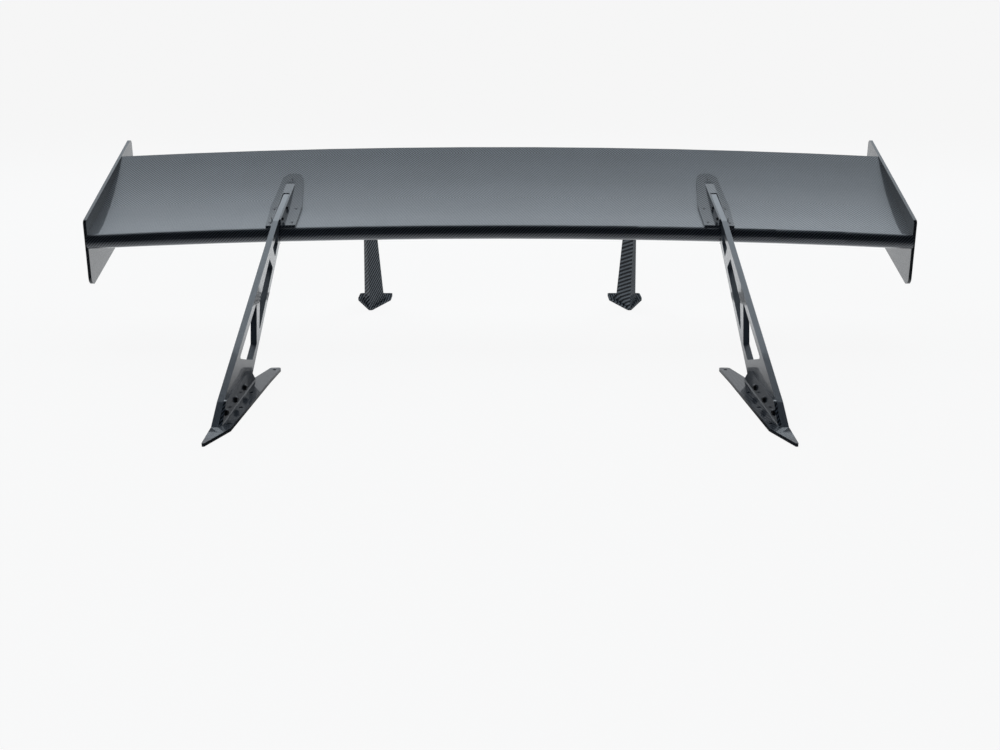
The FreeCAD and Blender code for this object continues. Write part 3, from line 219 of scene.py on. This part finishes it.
def wing_cloth(tree):
    """Cloth coordinates that run over the wing's nose without a seam."""
    _, x, y, z = place(tree)
    low, high = cad_box
    span = high.x - low.x
    arch = span ** 2 / (8 * CROWN) + CROWN / 2
    skin_low, skin_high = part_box("lower_skin")
    nose_y = skin_low.y + NOSE_RADIUS
    nose_z = skin_low.z + NOSE_RADIUS + CROWN
    slope = math.atan2(skin_high.z - nose_z, skin_high.y - nose_y)

    axis_z = nose_z - arch
    up = tree.math("SUBTRACT", z, axis_z)
    radial = tree.math("SQRT", tree.math("ADD", tree.math("MULTIPLY", x, x),
                                         tree.math("MULTIPLY", up, up)))
    rise = tree.math("SUBTRACT", radial, arch)
    run = tree.math("SUBTRACT", y, nose_y)
    along = tree.math("ADD", tree.math("MULTIPLY", run, math.cos(slope)),
                      tree.math("MULTIPLY", rise, math.sin(slope)))
    over = tree.math("SUBTRACT", tree.math("MULTIPLY", rise, math.cos(slope)),
                     tree.math("MULTIPLY", run, math.sin(slope)))
    turned = tree.math("ARCTAN2", tree.math("MULTIPLY", along, -1.0), over)
    on_nose = tree.math("MULTIPLY", turned, -NOSE_RADIUS)
    beneath = tree.math("SUBTRACT", -math.pi * NOSE_RADIUS, along)
    behind = tree.math("GREATER_THAN", along, 0.0)
    above = tree.math("GREATER_THAN", over, 0.0)
    straight = tree.pick(above, beneath, along)
    return x, tree.pick(behind, on_nose, straight)


def twill(tree, across, along, tow):
    """2x2 twill: 1 where a lengthwise tow lies on top, and the height of the cloth."""
    u = tree.math("DIVIDE", across, tow)
    v = tree.math("DIVIDE", along, tow)
    step = tree.math("SUBTRACT", tree.math("FLOOR", u), tree.math("FLOOR", v))
    phase = tree.math("FLOORED_MODULO", step, REPEAT)
    lengthwise = tree.math("LESS_THAN", phase, LENGTHWISE_END)
    in_u = tree.math("SUBTRACT", u, tree.math("FLOOR", u))
    in_v = tree.math("SUBTRACT", v, tree.math("FLOOR", v))

    width = tree.pick(lengthwise, in_v, in_u)
    long_run = tree.math("ADD", tree.math("SUBTRACT", FLOAT - 1, phase), in_v)
    wide_run = tree.math("ADD", tree.math("SUBTRACT", phase, FLOAT), in_u)
    length = tree.pick(lengthwise, tree.math("DIVIDE", wide_run, FLOAT),
                       tree.math("DIVIDE", long_run, FLOAT))
    round_tow = tree.math("SINE", tree.math("MULTIPLY", width, math.pi))
    float_arc = tree.math("SINE", tree.math("MULTIPLY", length, math.pi))
    height = tree.math("MULTIPLY", tree.math("POWER", round_tow, 0.5), float_arc)
    return lengthwise, height


def strands(tree, across, along, lengthwise, tow):
    """Fine lines of single fibres along each tow."""
    side = tree.pick(lengthwise, along, across)
    run = tree.pick(lengthwise, across, along)
    spot = tree.add("ShaderNodeCombineXYZ", X=tree.math("DIVIDE", side, tow / FIBRES),
                    Y=tree.math("DIVIDE", run, tow * REPEAT))
    return tree.noise(spot.outputs[0], 1.0, 1.0)


def carbon(name, cloth, tow=TOW, light=SHEEN_TOW, metal=0.3, gloss=0.5, coat=1.0,
           cut_edges=False):
    """Twill carbon under clear lacquer, with painted sheen on the lengthwise tows and painted
    shade in the valleys; cut_edges shows a plate's plies where it is cut.
    """
    tree = Tree(name)
    where, x, _, _ = place(tree)
    across, along = cloth(tree)
    lengthwise, height = twill(tree, across, along, tow)
    fibre = strands(tree, across, along, lengthwise, tow)
    # Painted shade: the tows darken towards the valleys between them.
    valley_shade = tree.spread(height, 0.0, VALLEY_END, VALLEY_SHADE, 1.0)
    shade = tree.math("MULTIPLY", valley_shade, tree.spread(fibre, *NOISE_BAND, *FIBRE_TONES))
    cloudy = tree.spread(tree.noise(where, CLOUDS, 3.0), *CLOUD_BAND, *CLOUD_TONES)
    # Painted sheen: the lengthwise tows take the paler light colour.
    tone = tree.scale(tree.pick_colour(lengthwise, light, DARK_TOW),
                      tree.math("MULTIPLY", shade, cloudy))
    if cut_edges:
        tone = layered_edges(tree, x, tone)

    ripple = tree.bump(tree.noise(where, RIPPLES, 1.0), RIPPLE, 0.12)
    shader = tree.add("ShaderNodeBsdfPrincipled", Base_Color=tone,
                      Normal=tree.bump(height, tow * 0.12, RELIEF))
    shader.inputs["Roughness"].default_value = 0.34
    shader.inputs["Metallic"].default_value = metal
    shader.inputs["Specular IOR Level"].default_value = gloss
    shader.inputs["Coat Weight"].default_value = coat
    shader.inputs["Coat Roughness"].default_value = LACQUER_ROUGH
    shader.inputs["Coat IOR"].default_value = LACQUER_INDEX
    tree.links.new(ripple, shader.inputs["Coat Normal"])
    return tree.finish(shader.outputs[0])


def layered_edges(tree, x, tone):
    """Where a face looks away from the row's X axis, show the plate's stacked plies."""
    cut = tree.math("LESS_THAN", facing(tree)[0], FACE_TURN)
    ply = tree.math("SINE", tree.math("MULTIPLY", x, math.pi / PLY))
    edge = tree.scale(EDGE_TONE, tree.spread(ply, -1.0, 1.0, *PLY_TONES))
    return tree.pick_colour(cut, tone, edge)


# ---------------------------------------------------------------- metal and rubber

def worn_metal(name, colour, edge_colour, rough):
    """Plain metal with fine marks and paler worn edges."""
    tree = Tree(name)
    where, _, _, _ = place(tree)
    edge = tree.spread(tree.add("ShaderNodeNewGeometry").outputs["Pointiness"],
                       0.51, 0.60, 0.0, 1.0)
    scuffs = tree.spread(tree.noise(where, SCUFFS, 4.0), 0.45, 0.7, 0.3, 1.0)
    tone = tree.pick_colour(tree.math("MULTIPLY", edge, scuffs), colour, edge_colour)
    marks = tree.noise(where, METAL_MARKS, 3.0)
    shader = tree.add("ShaderNodeBsdfPrincipled", Base_Color=tone,
                      Roughness=tree.spread(marks, *NOISE_BAND, rough - 0.08, rough + 0.1),
                      Normal=tree.bump(marks, 0.00005, 0.4))
    shader.inputs["Metallic"].default_value = 1.0
    return tree.finish(shader.outputs[0])


def rubber():
    """Thin matt rubber with a fine grain and a dusting of paler specks."""
    tree = Tree("rubber")
    where, _, _, _ = place(tree)
    grain = tree.noise(where, RUBBER_GRAIN, 4.0)
    dust = tree.spread(tree.noise(where, RUBBER_DUST, 5.0), 0.5, 0.8, 0.0, 0.5)
    tone = tree.pick_colour(dust, (0.013, 0.013, 0.014, 1), (0.05, 0.05, 0.052, 1))
    shader = tree.add("ShaderNodeBsdfPrincipled", Base_Color=tone,
                      Normal=tree.bump(grain, 0.0001, 0.5))
    shader.inputs["Roughness"].default_value = 0.75
    return tree.finish(shader.outputs[0])


def bare_laminate():
    """Unlacquered cloth of the pieces inside the wing, with painted sheen on one direction of
    tows.
    """
    tree = Tree("bare_laminate")
    across, along = flat_cloth(tree)
    lengthwise, height = twill(tree, across, along, TOW)
    # Painted sheen: the crosswise tows take the paler colour, the lengthwise ones the darker.
    tone = tree.pick_colour(lengthwise, (0.05, 0.05, 0.052, 1), (0.022, 0.022, 0.024, 1))
    shader = tree.add("ShaderNodeBsdfPrincipled", Base_Color=tone,
                      Normal=tree.bump(height, TOW * 0.15, RELIEF))
    shader.inputs["Roughness"].default_value = 0.6
    return tree.finish(shader.outputs[0])


def make_materials():
    """One material for each of the record's slots."""
    return {
        "wing_carbon": carbon("wing_carbon", wing_cloth),
        # Each part's light colour is the painted sheen of its lengthwise tows.
        "plate_carbon": carbon("plate_carbon", flat_cloth, light=(0.032, 0.039, 0.048, 1),
                               metal=0.0, gloss=0.1),
        "arm_carbon": carbon("arm_carbon", flat_cloth, metal=0.1, cut_edges=True),
        "mount_carbon": carbon("mount_carbon", flat_cloth, metal=0.0, gloss=0.05),
        "inner_carbon": bare_laminate(),
        "aluminium": worn_metal("machined_aluminium", (0.72, 0.73, 0.75, 1),
                                (0.85, 0.86, 0.88, 1), 0.34),
        "dark_steel": worn_metal("black_oxide_steel", (0.045, 0.046, 0.05, 1),
                                 (0.30, 0.30, 0.31, 1), 0.36),
        "rubber": rubber(),
    }


def dress_nodes(materials):
    """Give every CAD node the material of its slot; the struts' cloth is coarser and duller."""
    # The struts' paler light colour is stronger painted sheen on their lengthwise tows.
    coarse = carbon("strut_carbon", slanted_cloth, tow=1.4 * TOW,
                    light=(0.15, 0.17, 0.19, 1), metal=0.0, gloss=0.0, coat=0.06)
    for part in frame["record"]["subparts"]:
        strut = part["node"].startswith("rear_strut")
        for slot in NODES[part["node"]].material_slots:
            slot.material = coarse if strut else materials[part["material_slot"]]


# ---------------------------------------------------------------- studio

def soft_box(name, middle, aim, width, depth, power):
    """A large rectangular lamp that looks from its middle to a point."""
    data = bpy.data.lights.new(name, "AREA")
    data.shape = "RECTANGLE"
    data.size = width
    data.size_y = depth
    data.energy = power
    data.color = LAMP_TINT
    lamp = bpy.data.objects.new(name, data)
    lamp.location = middle
    lamp.rotation_euler = (Vector(aim) - Vector(middle)).to_track_quat("-Z", "Y").to_euler()
    bpy.context.scene.collection.objects.link(lamp)
    return lamp


def make_lights():
    """One soft box above and behind the wing, and one ahead of it that isn't mirrored."""
    soft_box("top_box", middle=(0, 1.75, 1.9), aim=(0, 0.5, 0), width=4.2, depth=1.9, power=25)
    front = soft_box("front_box", middle=(-0.6, -2.6, 1.8), aim=(0, 0, 0.2), width=1.6,
                     depth=1.2, power=12)
    front.visible_glossy = False


def make_world():
    """A pale room, brighter behind the wing than on the camera's side."""
    world = bpy.data.worlds.new("studio")
    bpy.context.scene.world = world
    world.use_nodes = True
    nodes, links = world.node_tree.nodes, world.node_tree.links
    nodes.clear()
    direction = nodes.new("ShaderNodeTexCoord").outputs["Generated"]
    split = nodes.new("ShaderNodeSeparateXYZ")
    links.new(direction, split.inputs[0])
    fade = nodes.new("ShaderNodeMapRange")
    set_range(fade, *ROOM_FADE)
    links.new(split.outputs[1], fade.inputs["Value"])
    back = nodes.new("ShaderNodeBackground")
    back.inputs["Color"].default_value = ROOM_TINT
    links.new(fade.outputs[0], back.inputs["Strength"])
    output = nodes.new("ShaderNodeOutputWorld")
    links.new(back.outputs[0], output.inputs[0])


def make_floor():
    """A pale floor out to the horizon.

    The camera sees an even glow. Reflections see a glow that is dark ahead of the wing
    and bright behind it.
    """
    mesh = bpy.data.meshes.new("floor")
    far = FLOOR_REACH
    mesh.from_pydata([(-far, -far, 0), (far, -far, 0), (far, far, 0), (-far, far, 0)], [],
                     [(0, 1, 2, 3)])
    floor = bpy.data.objects.new("floor", mesh)
    bpy.context.scene.collection.objects.link(floor)

    tree = Tree("pale_floor")
    seen = tree.add("ShaderNodeLightPath").outputs["Is Camera Ray"]
    glow = tree.add("ShaderNodeEmission", Color=(0.92, 0.92, 0.92, 1), Strength=0.985)
    matt = tree.add("ShaderNodeBsdfDiffuse", Color=(0.10, 0.10, 0.10, 1))
    spot = tree.add("ShaderNodeNewGeometry").outputs["Position"]
    depth = tree.add("ShaderNodeSeparateXYZ", Vector=spot).outputs[1]
    pale = tree.add("ShaderNodeEmission", Color=FLOOR_TINT,
                    Strength=tree.spread(depth, *FLOOR_FADE))
    shown = tree.nodes.new("ShaderNodeAddShader")
    tree.links.new(glow.outputs[0], shown.inputs[0])
    tree.links.new(matt.outputs[0], shown.inputs[1])
    both = tree.add("ShaderNodeMixShader", Fac=seen)
    tree.links.new(pale.outputs[0], both.inputs[1])
    tree.links.new(shown.outputs[0], both.inputs[2])
    mesh.materials.append(tree.finish(both.outputs[0]))


def make_camera():
    """The photograph's view: from ahead of the leading edge, looking back and down."""
    nose_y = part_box("lower_skin")[0].y
    data = bpy.data.cameras.new("camera")
    data.lens = LENS
    data.sensor_width = SENSOR
    data.clip_end = SIGHT
    camera = bpy.data.objects.new("camera", data)
    camera.location = (0, nose_y - CAMERA_AHEAD, CAMERA_HEIGHT)
    camera.rotation_euler = (math.radians(90 - CAMERA_PITCH), 0, 0)
    bpy.context.scene.collection.objects.link(camera)
    bpy.context.scene.camera = camera


dress_nodes(make_materials())
make_lights()
make_world()
make_floor()
make_camera()
bpy.context.scene.view_settings.view_transform = "Standard"
